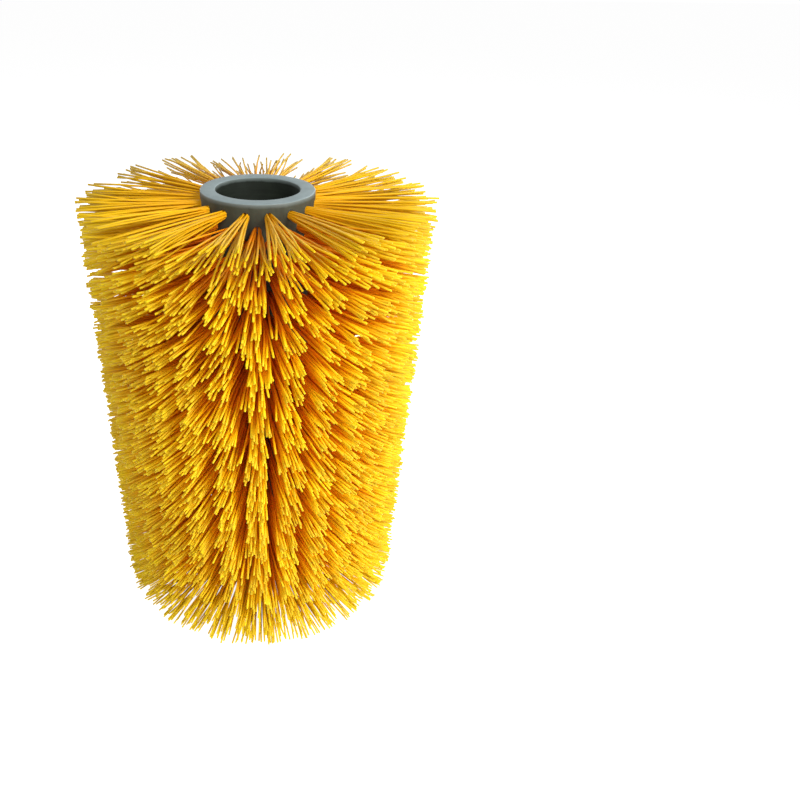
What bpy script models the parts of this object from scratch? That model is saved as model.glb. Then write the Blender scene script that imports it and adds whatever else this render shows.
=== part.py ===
"""Tufted roller of a rotating cow brush.

A thick-walled plastic core tube is drilled with staggered rings of blind holes, and a tuft of stiff
bristle is set in every hole. The roller stands on one end of its tube: the origin is the centre of that
end and +Z runs up the axis. Lengths are in metres and angles in radians.
"""

import math

import bmesh
import bpy
from mathutils import Matrix, Vector

# Core tube
TUBE_LENGTH = 0.660
TUBE_RADIUS = 0.080
TUBE_WALL = 0.021
RIM_CHAMFER = 0.002

# Hole pattern: each ring of holes is turned by half a step against the ring below it
HOLES_PER_RING = 16
RING_PITCH = 0.0179
RING_MARGIN = 0.0165
HOLE_DIAMETER = 0.011
HOLE_FLOOR = 0.006

# Tufts
BRUSH_RADIUS = 0.240
TUFT_CLEARANCE = 0.0003
TIP_OVERLAP = 0.002
COLUMN_GAP = 0.020
END_RELIEF = 0.003

# What follows from those
COLUMNS = 2 * HOLES_PER_RING
COLUMN_STEP = 2 * math.pi / COLUMNS
RINGS = 1 + int((TUBE_LENGTH - 2 * RING_MARGIN) / RING_PITCH + 1e-6)
FIRST_RING_Z = (TUBE_LENGTH - (RINGS - 1) * RING_PITCH) / 2
BORE_RADIUS = TUBE_RADIUS - TUBE_WALL
FACE_RADIUS = TUBE_RADIUS * math.cos(COLUMN_STEP / 2)
HOLE_HALF_SIDE = HOLE_DIAMETER * math.sqrt(math.pi) / 4
HOLE_FLOOR_RADIUS = BORE_RADIUS + HOLE_FLOOR

TUBE_COLOUR = (0.33, 0.36, 0.37, 1.0)
BRISTLE_COLOUR = (0.90, 0.58, 0.02, 1.0)


def clear_scene():
    for obj in list(bpy.data.objects):
        bpy.data.objects.remove(obj)


def plastic(name, colour, roughness):
    material = bpy.data.materials.new(name)
    material.use_nodes = True
    shader = material.node_tree.nodes["Principled BSDF"]
    shader.inputs["Base Color"].default_value = colour
    shader.inputs["Roughness"].default_value = roughness
    shader.inputs["Metallic"].default_value = 0.0
    return material


def new_object(name, bm, material=None):
    bmesh.ops.recalc_face_normals(bm, faces=bm.faces)
    mesh = bpy.data.meshes.new(name)
    bm.to_mesh(mesh)
    bm.free()
    obj = bpy.data.objects.new(name, mesh)
    bpy.context.scene.collection.objects.link(obj)
    if material:
        mesh.materials.append(material)
    return obj


def ring_heights(column):
    """Heights of the rings that have a hole in this column: every other ring, by turns."""
    return [FIRST_RING_Z + ring * RING_PITCH for ring in range(column % 2, RINGS, 2)]


def column_frame(column):
    """Turns the column's own axes, X outwards and Y round the tube, into the roller's."""
    return Matrix.Rotation(column * COLUMN_STEP, 4, "Z")


def tube_body(material):
    """The tube, turned about Z from its wall's section, with one flat facet to each column of holes."""
    inner, outer = BORE_RADIUS, TUBE_RADIUS
    low, high, chamfer = 0.0, TUBE_LENGTH, RIM_CHAMFER
    section = [
        (inner, low + chamfer),
        (inner + chamfer, low),
        (outer - chamfer, low),
        (outer, low + chamfer),
        (outer, high - chamfer),
        (outer - chamfer, high),
        (inner + chamfer, high),
        (inner, high - chamfer),
    ]
    bm = bmesh.new()
    corners = [bm.verts.new((radius, 0.0, z)) for radius, z in section]
    edges = [bm.edges.new((a, b)) for a, b in zip(corners, corners[1:] + corners[:1])]
    bmesh.ops.rotate(bm, verts=bm.verts, cent=(0, 0, 0), matrix=Matrix.Rotation(COLUMN_STEP / 2, 3, "Z"))
    bmesh.ops.spin(
        bm, geom=corners + edges, cent=(0, 0, 0), axis=(0, 0, 1),
        angle=2 * math.pi, steps=COLUMNS, use_merge=True,
    )
    return new_object("core_tube", bm, material)


def hole_cutter():
    """All the holes in one mesh. Each is square, of the drilled hole's area, and ends blind in the wall."""
    bm = bmesh.new()
    mouth = TUBE_RADIUS + RIM_CHAMFER
    depth = mouth - HOLE_FLOOR_RADIUS
    size = Matrix.Diagonal((depth, 2 * HOLE_HALF_SIDE, 2 * HOLE_HALF_SIDE, 1.0))
    for column in range(COLUMNS):
        for z in ring_heights(column):
            place = Matrix.Translation(((mouth + HOLE_FLOOR_RADIUS) / 2, 0.0, z))
            bmesh.ops.create_cube(bm, size=1.0, matrix=column_frame(column) @ place @ size)
    cutter = new_object("hole_cutter", bm)
    cutter.hide_render = True
    cutter.display_type = "WIRE"
    return cutter


def core_tube(material):
    tube = tube_body(material)
    holes = tube.modifiers.new("drilled holes", "BOOLEAN")
    holes.operation = "DIFFERENCE"
    holes.solver = "EXACT"
    holes.object = hole_cutter()
    return tube


def tuft_half_width(radius):
    """Half of the column's width at this radius: a tuft just clears its hole and fans out to its tips."""
    at_mouth = HOLE_HALF_SIDE - TUFT_CLEARANCE
    at_tips = BRUSH_RADIUS * math.tan(COLUMN_STEP / 2) - COLUMN_GAP / 2
    share = (radius - FACE_RADIUS) / (BRUSH_RADIUS - FACE_RADIUS)
    return at_mouth + share * (at_tips - at_mouth)


def tuft_half_height(radius, at_tips):
    """The same along the axis, where at_tips is how far the tuft fans out there."""
    at_mouth = HOLE_HALF_SIDE - TUFT_CLEARANCE
    share = (radius - FACE_RADIUS) / (BRUSH_RADIUS - FACE_RADIUS)
    return at_mouth + share * (at_tips - at_mouth)


def column_profile(column):
    """The comb's outline as (radius, height): a root in each hole, and fans that mingle near the tips."""
    heights = ring_heights(column)
    fan = RING_PITCH + TIP_OVERLAP
    low_fan = min(fan, heights[0] - END_RELIEF)
    high_fan = min(fan, TUBE_LENGTH - heights[-1] - END_RELIEF)
    at_mouth = HOLE_HALF_SIDE - TUFT_CLEARANCE
    valley_share = (RING_PITCH - at_mouth) / (fan - at_mouth)
    valley = FACE_RADIUS + valley_share * (BRUSH_RADIUS - FACE_RADIUS)
    root = HOLE_FLOOR_RADIUS + TUFT_CLEARANCE
    outline = [(BRUSH_RADIUS, heights[0] - low_fan)]
    for z in heights:
        below = low_fan if z == heights[0] else fan
        above = high_fan if z == heights[-1] else fan
        outline.append((root, z - tuft_half_height(root, below)))
        outline.append((root, z + tuft_half_height(root, above)))
        if z != heights[-1]:
            outline.append((valley, z + RING_PITCH))
    outline.append((BRUSH_RADIUS, heights[-1] + high_fan))
    return outline


def tuft_column(column, material):
    """One column of tufts along the tube, all at the same angle, whose tips have grown into one brush face."""
    bm = bmesh.new()
    outline = column_profile(column)
    sides = []
    for sign in (-1, 1):
        points = [Vector((radius, sign * tuft_half_width(radius), z)) for radius, z in outline]
        sides.append([bm.verts.new(point) for point in points])
    left, right = sides
    bm.faces.new(left)
    bm.faces.new(right)
    for i in range(len(outline)):
        j = (i + 1) % len(outline)
        bm.faces.new((left[i], left[j], right[j], right[i]))
    obj = new_object(f"tuft_column_{column + 1:02d}", bm, material)
    obj.matrix_world = column_frame(column)
    return obj


def main():
    clear_scene()
    tube_plastic = plastic("grey tube plastic", TUBE_COLOUR, 0.45)
    bristle_plastic = plastic("yellow bristle plastic", BRISTLE_COLOUR, 0.4)
    tube = core_tube(tube_plastic)
    tube.data.shade_smooth()
    tube.data.set_sharp_from_angle(angle=math.radians(30))
    for column in range(COLUMNS):
        tuft_column(column, bristle_plastic)


main()
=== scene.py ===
"""Looks of a tufted brush roller: folded bristle strands set in drilled holes, on a grey plastic tube.

Everything is in metres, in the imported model's frame: the roller stands on z = 0 and +Z is its axis. A
column is one straight line of holes up the tube. Its own axes are X outwards, Y round the tube and Z up it.
"""

import math

import bmesh
import bpy
import numpy as np
from mathutils import Matrix, Vector


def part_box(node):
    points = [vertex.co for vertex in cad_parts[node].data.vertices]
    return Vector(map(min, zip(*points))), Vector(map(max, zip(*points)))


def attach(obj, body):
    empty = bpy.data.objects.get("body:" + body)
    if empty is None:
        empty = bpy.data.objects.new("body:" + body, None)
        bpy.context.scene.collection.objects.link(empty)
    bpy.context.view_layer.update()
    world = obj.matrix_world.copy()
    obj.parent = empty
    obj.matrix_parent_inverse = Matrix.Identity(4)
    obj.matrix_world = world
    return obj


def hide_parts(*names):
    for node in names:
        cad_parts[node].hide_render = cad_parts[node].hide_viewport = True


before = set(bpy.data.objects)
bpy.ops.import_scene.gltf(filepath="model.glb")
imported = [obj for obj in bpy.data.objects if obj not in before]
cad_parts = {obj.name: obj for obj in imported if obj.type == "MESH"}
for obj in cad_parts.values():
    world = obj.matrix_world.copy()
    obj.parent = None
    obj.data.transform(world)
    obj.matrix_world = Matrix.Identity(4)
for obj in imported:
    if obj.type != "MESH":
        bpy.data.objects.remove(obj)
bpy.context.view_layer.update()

# The roller, as the frame has it
COLUMNS = sum(name.startswith("tuft_column_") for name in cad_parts)
COLUMN_STEP = 2 * math.pi / COLUMNS
TUBE_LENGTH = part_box("core_tube")[1].z
TUBE_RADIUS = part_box("core_tube")[1].x / math.cos(COLUMN_STEP / 2)
BRUSH_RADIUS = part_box("tuft_column_01")[1].x
MIDDLE = Vector((0.0, 0.0, TUBE_LENGTH / 2))

# Tube. A face whose normal points along the axis by more than END_SLOPE belongs to a sawn end.
TUBE_WALL = 0.021
TUBE_SIDES = 128
RIM_ROUND = 0.0022
RIM_STEPS = 3
END_SLOPE = 0.4
SMOOTH_ANGLE = math.radians(35)
BORE_RADIUS = TUBE_RADIUS - TUBE_WALL

# Holes
RINGS = 36
RING_PITCH = 0.0179
HOLE_RADIUS = 0.0055
HOLE_SIDES = 20
HOLE_FLOOR = 0.006
HOLE_MARGIN = 0.001
DRILL_POINT = 0.0025
DRILL_PROUD = 0.002
HOLE_FLOOR_RADIUS = BORE_RADIUS + HOLE_FLOOR
FIRST_RING_Z = (TUBE_LENGTH - (RINGS - 1) * RING_PITCH) / 2

# Bristle strands: each is folded over the anchor, so it shows as two bristles, one in each half of its tuft.
# ROWS has each row's distance from the slit between the halves, and its strands' places along the tube.
BRISTLE_RADIUS = 0.00140
BRISTLE_SIDES = 6
LEG_STEPS = 4
MOUTH_INSET = 0.0030
MOUTH_SAG = 0.0008
ROWS = (
    (0.0026, (-0.0034, -0.0017, 0.0, 0.0017, 0.0034)),
    (0.0041, (-0.0018, -0.0006, 0.0006, 0.0018)),
)
FOLD_DROP = 0.0026
FOLD_CLEARANCE = 0.0004
FOLD_RISE = 0.6
FOLD_BEND = 0.45

# Where the tips go, across the column and along the tube
TIP_PROUD = 0.0032
LENGTH_SPREAD = 0.0026
LONGEST = 0.0044
SHORTEST = -0.0088
FAN_SLIT = 0.0036
FAN_WIDTH = 0.0130
FAN_HEIGHT = 0.0083
FAN_UNEVEN = 0.3
FLARE = 1.22
STRAY = 0.0021
TUFT_LEAN = 0.0032
BEND = 0.0024
LOOSE_SHARE = 0.20
LOOSE_STRAY = 0.0080
TIP_RADIUS = BRUSH_RADIUS + TIP_PROUD

# The rings next to the lower and the upper end, whose tufts have no neighbours beyond them and spread out
LOW_RINGS = 5
HIGH_RINGS = 3
DOWN_LEAN = 0.0200
LOW_WIDTH = 2.10
HIGH_WIDTH = 1.10
END_HEIGHT = 0.35
# Painted shade towards the fold that the last ring's tufts keep: less than in the others, as no tufts lie
# beyond them
END_PAINTED_SHADE = 0.18
END_CLEARANCE = 0.0010
TOP_CLEARANCE = 0.0050

# Tones, from 0 for orange and dark to 1 for yellow and bright, and the first column's seed. Tones differ at
# random between tufts and strands; near the lower end they are painted lighter as painted light, and near
# the upper end darker as painted shade.
TUFT_TONES = (0.25, 0.75)
STRAND_TONE = 0.2
LOW_PAINTED_LIGHT_TONE = 0.66
HIGH_PAINTED_SHADE_TONE = 0.05
FIRST_SEED = 1000

# Each strand's strip of the map, as shares of its own width and of the map's height
STRIP_EDGE = 0.1
STRIP_END = 0.03
CAP_PLACE = 0.012
CAP_SIZE = 0.01

# Wire anchors
ANCHOR_WIDTH = 0.0020
ANCHOR_THICKNESS = 0.0009
ANCHOR_BITE = 0.0004
ANCHOR_ROUND = ANCHOR_THICKNESS / 5
WIRE_COLOUR = (0.45, 0.46, 0.47, 1.0)
WIRE_GRAIN = 900.0
WIRE_ROUGHNESS = (0.30, 0.50)

# Bristle plastic, with its colours from the fold at 0 to the tips at 1. This is painted shade: deep orange
# where a strand lies under its neighbours, yellow at its tips.
BRISTLE_COLOURS = (
    (0.00, (0.42, 0.075, 0.002)),
    (0.22, (0.84, 0.165, 0.002)),
    (0.50, (0.95, 0.250, 0.002)),
    (0.72, (0.95, 0.365, 0.003)),
    (0.86, (0.86, 0.475, 0.004)),
    (1.00, (0.75, 0.515, 0.005)),
)
BRISTLE_HUES = (0.491, 0.507)
BRISTLE_VALUES = (0.82, 1.08)
BRISTLE_GRAIN = (900, 900, 900)
BRISTLE_ROUGHNESS = (0.36, 0.50)
BRISTLE_SPECULAR = 0.15

# Tube plastic. The streaks have a scale along each axis, and are fine where it is high. The darkest and the
# lightest shade each have a place in the mottle and a share of the colour.
# The skin's and the bore's colours are painted shade: far darker than the plastic, the skin in the tufts'
# shade and the bore darker still, in the tube's own shade.
SKIN_PAINTED_SHADE_COLOUR = (0.036, 0.040, 0.026)
SKIN_STREAKS = (60, 60, 4)
SKIN_SPECULAR = 0.3
BORE_PAINTED_SHADE_COLOUR = (0.009, 0.012, 0.008)
BORE_STREAKS = (10, 10, 420)
BORE_SPECULAR = 0.12
SKIN_MOTTLE = 34.0
SKIN_MOTTLE_SHARE = 0.55
SKIN_DARKEST = (0.36, 0.62)
SKIN_LIGHTEST = (0.64, 1.35)
SKIN_ROUGHNESS = (0.50, 0.70)
SKIN_BUMP = (0.25, 0.0005)

# Paler plastic next to the tube's ends, in place of the painted shade of the skin and the bore
PALE_END_REACH = 0.0065
PALE_END_RIM = 0.001
PALE_END_RAGGED = 0.002
PALE_END_COLOUR = (0.13, 0.155, 0.145, 1.0)

# Sawn ends of the tube
CUT_RINGS = 1500.0
CUT_MOTTLE = 60.0
CUT_RING_SHARE = 0.35
CUT_COLOURS = ((0.30, (0.140, 0.180, 0.182)), (0.70, (0.205, 0.258, 0.263)))
CUT_ROUGHNESS = 0.55
CUT_BUMP = (0.10, 0.0002)

# Floor and plain light. A strength of 1 is white to the camera.
FLOOR_SIZE = 60
FLOOR_GAP = 0.0003
FLOOR_COLOUR = (0.85, 0.85, 0.85, 1.0)
FLOOR_GLOW = 0.90
WHITE = (1.0, 1.0, 1.0, 1.0)
WORLD_LIGHT = 0.10
WORLD_SEEN = 1.0

# Round lamps that face the roller's middle: azimuth (0 is +X, 90 is +Y) and elevation in degrees, diameter
# in metres and power in watts
LAMP_DISTANCE = 2.6
LAMPS = {
    "key": (-48, 41, 1.0, 55),
    "right": (-26, 14, 2.0, 43),
    "front": (-98, 32, 1.2, 24),
    "left": (-160, 14, 2.0, 9),
    "rear_right": (50, 30, 1.6, 20),
    "rear_left": (140, 30, 1.6, 20),
}

# Camera, at the photograph's viewing angle
CAMERA_DISTANCE = 0.917
CAMERA_HEIGHT = 0.898
CAMERA_AZIMUTH = math.radians(0.9)
CAMERA_YAW = math.radians(2.16)
CAMERA_PITCH = math.radians(32.58)
CAMERA_ROLL = math.radians(0.75)
CAMERA_LENS = 29.3
CAMERA_SHIFT = 0.15


def ring_heights(column):
    """Heights of the rings that have a hole in this column: every other ring, by turns."""
    return [FIRST_RING_Z + ring * RING_PITCH for ring in range(column % 2, RINGS, 2)]


def column_frame(column):
    """Turns the column's own axes into the roller's."""
    return Matrix.Rotation(column * COLUMN_STEP, 4, "Z")


def hole_frames():
    """Every hole's place: its column's own axes, raised to the hole's height."""
    for column in range(COLUMNS):
        for height in ring_heights(column):
            yield column_frame(column) @ Matrix.Translation((0.0, 0.0, height))


def link(name, data, *materials):
    """A new object in the scene with this mesh, light or camera as its data."""
    obj = bpy.data.objects.new(name, data)
    bpy.context.scene.collection.objects.link(obj)
    for material in materials:
        data.materials.append(material)
    return obj


def mesh_from(bm, name):
    mesh = bpy.data.meshes.new(name)
    bm.to_mesh(mesh)
    bm.free()
    return mesh


# Materials


class Nodes:
    """Short calls for building one material's node tree."""

    def __init__(self, name):
        self.material = bpy.data.materials.new(name)
        self.material.use_nodes = True
        self.tree = self.material.node_tree
        self.shader = self.tree.nodes["Principled BSDF"]
        self.output = self.tree.nodes["Material Output"]

    def add(self, kind, inputs=(), **settings):
        node = self.tree.nodes.new("ShaderNode" + kind)
        for key, value in settings.items():
            setattr(node, key, value)
        for key, value in dict(inputs).items():
            self.feed(node.inputs[key], value)
        return node

    def feed(self, socket, value):
        if isinstance(value, bpy.types.NodeSocket):
            self.tree.links.new(value, socket)
        else:
            socket.default_value = value

    def set(self, **values):
        for key, value in values.items():
            self.feed(self.shader.inputs[key.replace("_", " ").title()], value)

    def specular(self, level):
        self.shader.inputs["Specular IOR Level"].default_value = level

    def attribute(self, name):
        return self.add("Attribute", attribute_name=name).outputs["Fac"]

    def place(self):
        return self.add("TexCoord").outputs["Object"]

    def math(self, operation, a, b=0.0):
        return self.add("Math", {0: a, 1: b}, operation=operation).outputs[0]

    def map_range(self, value, low, high, from_low=0.0, from_high=1.0):
        ends = {"Value": value, "From Min": from_low, "From Max": from_high, "To Min": low, "To Max": high}
        return self.add("MapRange", ends).outputs[0]

    def blend(self, first, second, share):
        """Mix of two values, where share is the first one's part."""
        parts = [self.math("MULTIPLY", first, share), self.math("MULTIPLY", second, 1 - share)]
        return self.math("ADD", *parts)

    def ramp(self, factor, stops):
        node = self.add("ValToRGB", {"Fac": factor})
        elements = node.color_ramp.elements
        while len(elements) < len(stops):
            elements.new(1.0)
        for element, (position, colour) in zip(elements, stops):
            element.position = position
            element.color = (*colour, 1.0)
        return node.outputs["Color"]

    def noise(self, scale, vector=None, detail=3.0, roughness=0.5):
        inputs = {"Scale": scale, "Detail": detail, "Roughness": roughness}
        if vector is not None:
            inputs["Vector"] = vector
        return self.add("TexNoise", inputs).outputs["Fac"]

    def stretched(self, scale):
        """Object coordinates stretched by these factors, for streaks along an axis."""
        return self.add("Mapping", {"Vector": self.place(), "Scale": scale}).outputs["Vector"]

    def bump(self, height, strength, distance):
        values = {"Height": height, "Strength": strength, "Distance": distance}
        self.feed(self.shader.inputs["Normal"], self.add("Bump", values).outputs["Normal"])


def bristle_material():
    """Painted shade, deep orange in the tufts and yellow at their tips, and a tone of its own for each
    strand, with painted light and shade in it near the tube's ends.
    """
    m = Nodes("bristle plastic")
    # Painted shade: the colour runs from deep orange at the fold to yellow at the tips
    base = m.ramp(m.attribute("painted_light"), BRISTLE_COLOURS)
    tone_and_painted_light = m.attribute("tone_and_painted_light")
    colour = m.add("HueSaturation", {
        "Color": base,
        "Hue": m.map_range(tone_and_painted_light, *BRISTLE_HUES),
        "Value": m.map_range(tone_and_painted_light, *BRISTLE_VALUES),
    }).outputs["Color"]
    streak = m.noise(scale=1.0, vector=m.stretched(BRISTLE_GRAIN), detail=2.0)
    m.set(base_color=colour, roughness=m.map_range(streak, *BRISTLE_ROUGHNESS))
    m.specular(BRISTLE_SPECULAR)
    return m.material


def skin_material(name, colour, streaks, specular):
    """The tube's skin or bore, in a colour darkened by painted shade: fine marks along or round the axis
    over a soft mottle, and paler plastic next to the tube's ends, in place of the painted shade.
    """
    m = Nodes(name)
    mottle = m.noise(SKIN_MOTTLE, m.place(), detail=6.0, roughness=0.6)
    drawn = m.noise(scale=1.0, vector=m.stretched(streaks), detail=4.0, roughness=0.6)
    shades = [(place, tuple(c * share for c in colour)) for place, share in (SKIN_DARKEST, SKIN_LIGHTEST)]
    plain = m.ramp(m.blend(mottle, drawn, SKIN_MOTTLE_SHARE), shades)
    height = m.add("SeparateXYZ", {0: m.place()}).outputs["Z"]
    from_middle = m.math("ABSOLUTE", m.math("SUBTRACT", height, MIDDLE.z))
    ragged = m.math("ADD", from_middle, m.map_range(mottle, -PALE_END_RAGGED, PALE_END_RAGGED))
    # Paler plastic next to both ends, in place of the painted shade
    pale_end = m.map_range(ragged, 0.0, 1.0, MIDDLE.z - PALE_END_REACH, MIDDLE.z - PALE_END_RIM)
    both = m.add("MixRGB", {"Fac": pale_end, "Color1": plain, "Color2": PALE_END_COLOUR})
    m.set(base_color=both.outputs["Color"], roughness=m.map_range(drawn, *SKIN_ROUGHNESS))
    m.specular(specular)
    m.bump(drawn, *SKIN_BUMP)
    return m.material


def cut_face_material():
    """The sawn end of the tube: paler than the skin, whose colour is darkened by painted shade, with fine
    marks round the axis.
    """
    m = Nodes("cut tube end")
    place = m.place()
    flat = m.add("VectorMath", {0: place, 1: (1.0, 1.0, 0.0)}, operation="MULTIPLY").outputs["Vector"]
    radius = m.add("VectorMath", {0: flat}, operation="LENGTH").outputs["Value"]
    across = {"W": m.math("MULTIPLY", radius, CUT_RINGS), "Scale": 1.0, "Detail": 2.0}
    rings = m.add("TexNoise", across, noise_dimensions="1D").outputs["Fac"]
    mottle = m.noise(CUT_MOTTLE, place, detail=6.0, roughness=0.65)
    m.set(base_color=m.ramp(m.blend(rings, mottle, CUT_RING_SHARE), CUT_COLOURS))
    m.set(roughness=CUT_ROUGHNESS)
    m.bump(rings, *CUT_BUMP)
    return m.material


def anchor_material():
    m = Nodes("anchor wire")
    m.set(base_color=WIRE_COLOUR, metallic=1.0)
    m.set(roughness=m.map_range(m.noise(WIRE_GRAIN), *WIRE_ROUGHNESS))
    return m.material


def floor_material():
    """A white floor that the camera sees as white, apart from the roller's shadow on it."""
    m = Nodes("white floor")
    m.set(base_color=FLOOR_COLOUR, roughness=1.0)
    m.specular(0.0)
    path = m.add("LightPath").outputs
    indirect = m.math("MAXIMUM", path["Is Glossy Ray"], path["Is Transmission Ray"])
    seen = m.math("MAXIMUM", path["Is Camera Ray"], indirect)
    glow = m.add("Emission", {"Color": WHITE, "Strength": m.math("MULTIPLY", seen, FLOOR_GLOW)})
    both = m.add("AddShader", {0: m.shader.outputs[0], 1: glow.outputs[0]})
    m.feed(m.output.inputs["Surface"], both.outputs[0])
    return m.material


# Tube


def tube_profile():
    """The wall's section as (radius, height), anticlockwise from the bore's lower end, with rounded rims.

    Two more points on the skin part the rims from the long strip that has the holes.
    """
    # Each corner, the way from it to the middle of its round, and the angle where the round starts
    corners = [
        (BORE_RADIUS, 0.0, 1, 1, 180), (TUBE_RADIUS, 0.0, -1, 1, 270),
        (TUBE_RADIUS, TUBE_LENGTH, -1, -1, 0), (BORE_RADIUS, TUBE_LENGTH, 1, -1, 90),
    ]
    points = []
    for radius, height, inward, upward, start in corners:
        centre_radius = radius + inward * RIM_ROUND
        centre_height = height + upward * RIM_ROUND
        for step in range(RIM_STEPS + 1):
            a = math.radians(start + 90 * step / RIM_STEPS)
            points.append((centre_radius + RIM_ROUND * math.cos(a), centre_height + RIM_ROUND * math.sin(a)))
        if (radius, height) == (TUBE_RADIUS, 0.0):
            clear = FIRST_RING_Z - HOLE_RADIUS - HOLE_MARGIN
            points += [(TUBE_RADIUS, clear), (TUBE_RADIUS, TUBE_LENGTH - clear)]
    return points


def plain_tube(skin, cut_face, bore):
    """The tube without its holes, its section turned about the axis."""
    bm = bmesh.new()
    verts = [bm.verts.new((radius, 0.0, height)) for radius, height in tube_profile()]
    edges = [bm.edges.new((a, b)) for a, b in zip(verts, verts[1:] + verts[:1])]
    bmesh.ops.spin(
        bm, geom=verts + edges, cent=(0, 0, 0), axis=(0, 0, 1),
        angle=2 * math.pi, steps=TUBE_SIDES, use_merge=True,
    )
    bmesh.ops.recalc_face_normals(bm, faces=bm.faces)
    materials = [skin, cut_face, bore]
    half_wall = (BORE_RADIUS + TUBE_RADIUS) / 2
    for face in bm.faces:
        if abs(face.normal.z) > END_SLOPE:
            face.material_index = materials.index(cut_face)
        elif face.calc_center_median().xy.length < half_wall:
            face.material_index = materials.index(bore)
    return link("drilled_tube", mesh_from(bm, "drilled_tube"), *materials)


def drill_cutter():
    """All the drills in one mesh: each is round and pointed, from outside the tube to its hole's floor."""
    bm = bmesh.new()
    mouth = TUBE_RADIUS + DRILL_PROUD
    shank = mouth - HOLE_FLOOR_RADIUS - DRILL_POINT
    for hole in hole_frames():
        turn = hole @ Matrix.Rotation(math.pi / 2, 4, "Y")
        made = bmesh.ops.create_cone(
            bm, cap_ends=True, segments=HOLE_SIDES, radius1=HOLE_RADIUS, radius2=HOLE_RADIUS,
            depth=shank, matrix=turn @ Matrix.Translation((0.0, 0.0, mouth - shank / 2)),
        )
        faces = {face for vert in made["verts"] for face in vert.link_faces}
        caps = [face for face in faces if len(face.verts) == HOLE_SIDES]
        floor = min(caps, key=lambda face: face.calc_center_median().xy.length)
        apex = bmesh.ops.poke(bm, faces=[floor])["verts"][0]
        apex.co -= turn.to_3x3().col[2] * DRILL_POINT
    bmesh.ops.recalc_face_normals(bm, faces=bm.faces)
    return link("drill_cutter", mesh_from(bm, "drill_cutter"))


def drilled_tube(skin, cut_face, bore):
    tube = plain_tube(skin, cut_face, bore)
    cutter = drill_cutter()
    cut = tube.modifiers.new("drilled holes", "BOOLEAN")
    cut.operation = "DIFFERENCE"
    cut.solver = "EXACT"
    cut.object = cutter
    graph = bpy.context.evaluated_depsgraph_get()
    mesh = bpy.data.meshes.new_from_object(tube.evaluated_get(graph))
    tube.modifiers.clear()
    tube.data = mesh
    bpy.data.objects.remove(cutter)
    mesh.shade_smooth()
    mesh.set_sharp_from_angle(angle=SMOOTH_ANGLE)
    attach(tube, "root")
    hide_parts("core_tube")
    return tube


def anchors(material):
    """One flat wire across the fold of each tuft, biting into the hole's walls."""
    bm = bmesh.new()
    radius = fold_radius(0) + BRISTLE_RADIUS + ANCHOR_WIDTH / 2
    size = Matrix.Diagonal((ANCHOR_WIDTH, ANCHOR_THICKNESS, 2 * (HOLE_RADIUS + ANCHOR_BITE), 1.0))
    for hole in hole_frames():
        place = hole @ Matrix.Translation((radius, 0.0, 0.0))
        bmesh.ops.create_cube(bm, size=1.0, matrix=place @ size)
    bmesh.ops.bevel(bm, geom=bm.edges[:], offset=ANCHOR_ROUND, segments=1, affect="EDGES")
    obj = link("wire_anchors", mesh_from(bm, "wire_anchors"), material)
    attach(obj, "root")
    return obj


# Bristles


def fold_radius(row):
    """How far from the axis a strand's fold lies: the outer row passes under the inner one."""
    lowest = HOLE_FLOOR_RADIUS + BRISTLE_RADIUS + FOLD_CLEARANCE
    return lowest + (len(ROWS) - 1 - row) * FOLD_DROP


def fold_path(row, across, height):
    """The strand's way round under the anchor, from one side of the hole to the other."""
    radius = fold_radius(row)
    shoulder = radius + across * FOLD_RISE
    bend = across * FOLD_BEND
    return np.array([
        (shoulder, -across, height),
        (radius, -bend, height),
        (radius, bend, height),
        (shoulder, across, height),
    ])


def leg(rng, root, share, upward, side, lean, spread):
    """One bristle from its tip to its root in the hole's mouth, slightly bent.

    share is how far out it goes across its half of the tuft, upward how far up, from -1 to 1, side which
    half it is in, lean the tuft's own, and spread how much wider and higher than usual the tuft fans out.
    """
    stray = rng.normal(0, LOOSE_STRAY if rng.uniform() < LOOSE_SHARE else STRAY, 2)
    length = np.clip(rng.normal(0, LENGTH_SPREAD), SHORTEST, LONGEST)
    tip = np.array([
        TIP_RADIUS + length,
        side * (FAN_SLIT + share * (spread[0] * FAN_WIDTH - FAN_SLIT)) + stray[0] + lean[0],
        root[2] + upward * spread[1] * FAN_HEIGHT + stray[1] + lean[1],
    ])
    lowest = END_CLEARANCE + BRISTLE_RADIUS
    tip[2] = np.clip(tip[2], lowest, TUBE_LENGTH - TOP_CLEARANCE)
    inward = np.linspace(0, 1, LEG_STEPS + 1)[:, None]
    outward = 1 - inward
    shares = np.concatenate([outward, outward ** FLARE, outward ** FLARE], axis=1)
    # The bend is full halfway along, and there is none at the tip and the root
    bend = np.array([0.0, *rng.normal(0, BEND, 2)])
    path = root + (tip - root) * shares + bend * 4 * inward * outward
    path[:, 2] = np.maximum(path[:, 2], lowest)
    return path


def nearness(height):
    """How near this height is to the lower and the upper end: 1 in the last ring, 0 a few rings inwards."""
    from_low = (height - FIRST_RING_Z) / (LOW_RINGS * RING_PITCH)
    from_high = (TUBE_LENGTH - FIRST_RING_Z - height) / (HIGH_RINGS * RING_PITCH)
    return max(0.0, 1 - from_low), max(0.0, 1 - from_high)


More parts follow.
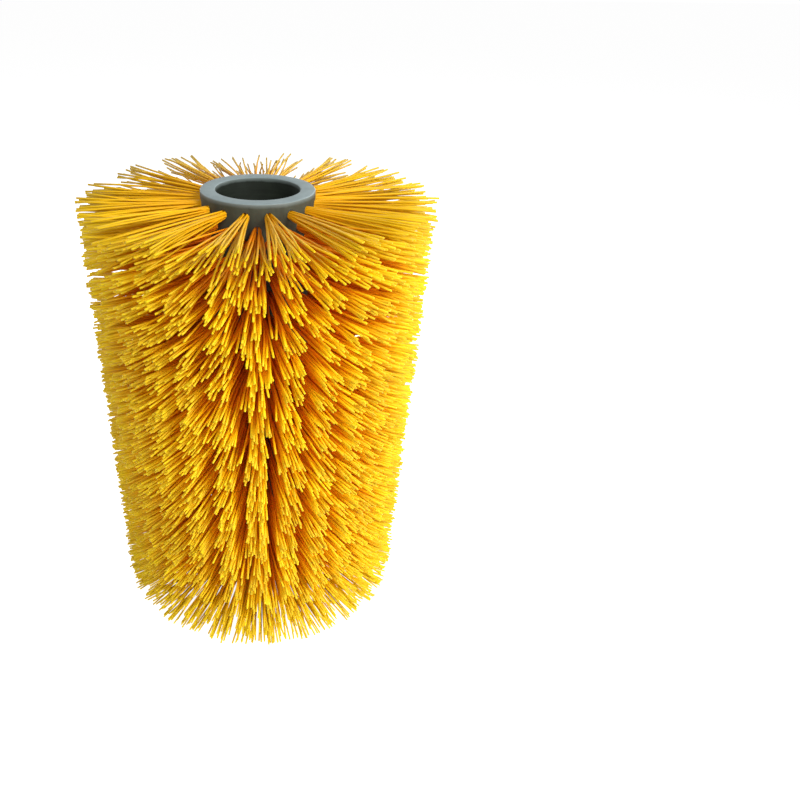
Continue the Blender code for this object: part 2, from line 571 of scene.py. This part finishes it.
def tuft_strands(rng, height):
    """The folded strands of one tuft, in its column's own axes, each from tip to tip."""
    strands = []
    lean = rng.normal(0, TUFT_LEAN, 2)
    low, high = nearness(height)
    lean[1] -= DOWN_LEAN * low
    spread = (1 + LOW_WIDTH * low + HIGH_WIDTH * high, 1 + END_HEIGHT * (low + high))
    highest = ROWS[0][1][-1]
    for row, (across, places) in enumerate(ROWS):
        for place in places:
            z = height + place
            legs = []
            for side in (-1, 1):
                root = np.array([TUBE_RADIUS - MOUTH_INSET, side * across, z - MOUTH_SAG])
                share = np.clip((row + rng.uniform(0, 1)) / len(ROWS), 0, 1)
                upward = place / highest + rng.uniform(-FAN_UNEVEN, FAN_UNEVEN)
                legs.append(leg(rng, root, share, upward, side, lean, spread))
            strands.append(np.concatenate([legs[0], fold_path(row, across, z), legs[1][::-1]]))
    return strands


def rod_points(path, around):
    """The corners of a round rod along this path, one ring of them at each of its points."""
    tangent = np.gradient(path, axis=0)
    tangent /= np.linalg.norm(tangent, axis=1)[:, None]
    u = np.cross(tangent, (0.0, 0.0, 1.0))
    u /= np.linalg.norm(u, axis=1)[:, None]
    v = np.cross(u, tangent)
    ring = BRISTLE_RADIUS * (around[None, :, :1] * u[:, None] + around[None, :, 1:] * v[:, None])
    return (path[:, None] + ring).reshape(-1, 3)


def bristle_mesh(name, strands, tones_and_painted_light, painted_shades):
    """All the strands of a column as closed round rods in one mesh, with a strip of the map for each.

    The mesh keeps two values at each corner: the strand's own tone, with painted light and shade in it near
    the tube's ends, and a painted light value, which is 1 at the tips and falls towards the fold by the
    strand's painted shade, the shade of the neighbours that lie over it.
    """
    rings = len(strands[0])
    per_rod = rings * BRISTLE_SIDES
    angles = np.arange(BRISTLE_SIDES) / BRISTLE_SIDES * 2 * math.pi
    around = np.stack([np.cos(angles), np.sin(angles)], 1)
    points = []
    faces = []
    maps = []
    painted_light = []
    for index, path in enumerate(strands):
        points.append(rod_points(path, around))
        steps = np.linalg.norm(np.diff(path, axis=0), axis=1)
        reach = np.concatenate([[0], np.cumsum(steps)])
        along = reach / reach[-1]
        # Painted shade along the strand: none at the tips, deepest at the fold
        depth = 1 - np.abs(2 * along - 1)
        painted_light.append(np.repeat(1 - painted_shades[index] * depth, BRISTLE_SIDES))
        place = STRIP_END + (1 - 2 * STRIP_END) * along
        left = (index + STRIP_EDGE) / len(strands)
        right = (index + 1 - STRIP_EDGE) / len(strands)
        half = (right - left) / 2
        first = index * per_rod
        for i in range(rings - 1):
            for k in range(BRISTLE_SIDES):
                a = first + i * BRISTLE_SIDES + k
                b = first + i * BRISTLE_SIDES + (k + 1) % BRISTLE_SIDES
                faces.append((a, b, b + BRISTLE_SIDES, a + BRISTLE_SIDES))
                maps += [(left, place[i]), (right, place[i]), (right, place[i + 1]), (left, place[i + 1])]
        for start, middle, step in ((0, CAP_PLACE, -1), (per_rod - BRISTLE_SIDES, 1 - CAP_PLACE, 1)):
            order = list(range(BRISTLE_SIDES))[::step]
            faces.append(tuple(first + start + k for k in order))
            maps += [(left + half * (1 + around[k, 0]), middle + CAP_SIZE * around[k, 1]) for k in order]
    mesh = bpy.data.meshes.new(name)
    mesh.from_pydata(np.concatenate(points), [], faces)
    layer = mesh.uv_layers.new(name="OFBake")
    layer.uv.foreach_set("vector", np.array(maps, np.float32).ravel())
    for attribute, values in (("tone_and_painted_light", np.repeat(tones_and_painted_light, per_rod)), ("painted_light", np.concatenate(painted_light))):
        kept = mesh.attributes.new(attribute, "FLOAT", "POINT")
        kept.data.foreach_set("value", values.astype(np.float32))
    return mesh


def bristle_column(column, material):
    """One column's tufts, which replace the solid that stands for them."""
    rng = np.random.default_rng(FIRST_SEED + column)
    strands = []
    tones_and_painted_light = []
    painted_shades = []
    for height in ring_heights(column):
        made = tuft_strands(rng, height)
        low, high = nearness(height)
        near = max(low, high)
        # Near the tube's ends the tone is painted: lighter at the lower end as painted light, darker at the
        # upper end as painted shade
        tuft_tone_and_painted_light = rng.uniform(*TUFT_TONES) * (1 - near) + LOW_PAINTED_LIGHT_TONE * low + HIGH_PAINTED_SHADE_TONE * high
        strands += made
        tones_and_painted_light += list(np.clip(tuft_tone_and_painted_light + rng.normal(0, STRAND_TONE, len(made)), 0, 1))
        # Painted shade towards the fold, less in the tufts next to the ends
        painted_shades += [1 - (1 - END_PAINTED_SHADE) * near] * len(made)
    name = f"bristles_{column + 1:02d}"
    obj = link(name, bristle_mesh(name, strands, tones_and_painted_light, painted_shades), material)
    obj.data.transform(column_frame(column))
    obj.data.shade_smooth()
    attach(obj, "root")
    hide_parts(f"tuft_column_{column + 1:02d}")
    return obj


# Stage


def stage():
    """The floor, just under the tube's end."""
    bm = bmesh.new()
    bmesh.ops.create_grid(bm, x_segments=1, y_segments=1, size=FLOOR_SIZE)
    bmesh.ops.translate(bm, verts=bm.verts, vec=(0.0, 0.0, -FLOOR_GAP))
    floor = link("floor", mesh_from(bm, "floor"), floor_material())


def studio():
    """A world that looks white, to the camera and in gloss, and lights the roller softly."""
    world = bpy.data.worlds.new("studio")
    bpy.context.scene.world = world
    world.use_nodes = True
    nodes = world.node_tree.nodes
    links = world.node_tree.links
    background = nodes["Background"]
    background.inputs["Color"].default_value = WHITE
    path = nodes.new("ShaderNodeLightPath")
    indirect = nodes.new("ShaderNodeMath")
    indirect.operation = "MAXIMUM"
    seen = nodes.new("ShaderNodeMath")
    seen.operation = "MAXIMUM"
    strength = nodes.new("ShaderNodeMapRange")
    links.new(path.outputs["Is Glossy Ray"], indirect.inputs[0])
    links.new(path.outputs["Is Transmission Ray"], indirect.inputs[1])
    links.new(path.outputs["Is Camera Ray"], seen.inputs[0])
    links.new(indirect.outputs[0], seen.inputs[1])
    links.new(seen.outputs[0], strength.inputs["Value"])
    strength.inputs["To Min"].default_value = WORLD_LIGHT
    strength.inputs["To Max"].default_value = WORLD_SEEN
    links.new(strength.outputs[0], background.inputs["Strength"])


def lamp(name, azimuth, elevation, size, power):
    data = bpy.data.lights.new(name, "AREA")
    data.shape = "DISK"
    data.size = size
    data.energy = power
    obj = link(name, data)
    a = math.radians(azimuth)
    e = math.radians(elevation)
    towards = Vector((math.cos(a) * math.cos(e), math.sin(a) * math.cos(e), math.sin(e)))
    obj.location = MIDDLE + towards * LAMP_DISTANCE
    obj.rotation_euler = towards.to_track_quat("Z", "Y").to_euler()


def camera():
    data = bpy.data.cameras.new("camera")
    data.lens = CAMERA_LENS
    data.shift_x = CAMERA_SHIFT
    obj = link("camera", data)
    bpy.context.scene.camera = obj
    round_z = Matrix.Rotation(CAMERA_AZIMUTH, 4, "Z")
    place = round_z @ Matrix.Translation((0.0, -CAMERA_DISTANCE, CAMERA_HEIGHT))
    turn = Matrix.Rotation(-CAMERA_YAW, 4, "Z") @ Matrix.Rotation(math.pi / 2 - CAMERA_PITCH, 4, "X")
    obj.matrix_world = place @ turn @ Matrix.Rotation(CAMERA_ROLL, 4, "Z")


bpy.context.scene.view_settings.view_transform = "Standard"
camera()
stage()
studio()
for lamp_name, values in LAMPS.items():
    lamp(lamp_name, *values)

# Skin and bore, with painted shade in their colours
tube_skin = skin_material("tube skin with painted shade", SKIN_PAINTED_SHADE_COLOUR, SKIN_STREAKS, SKIN_SPECULAR)
bore_skin = skin_material("bore skin with painted shade", BORE_PAINTED_SHADE_COLOUR, BORE_STREAKS, BORE_SPECULAR)
drilled_tube(tube_skin, cut_face_material(), bore_skin)
anchors(anchor_material())
bristles = bristle_material()
for column in range(COLUMNS):
    bristle_column(column, bristles)
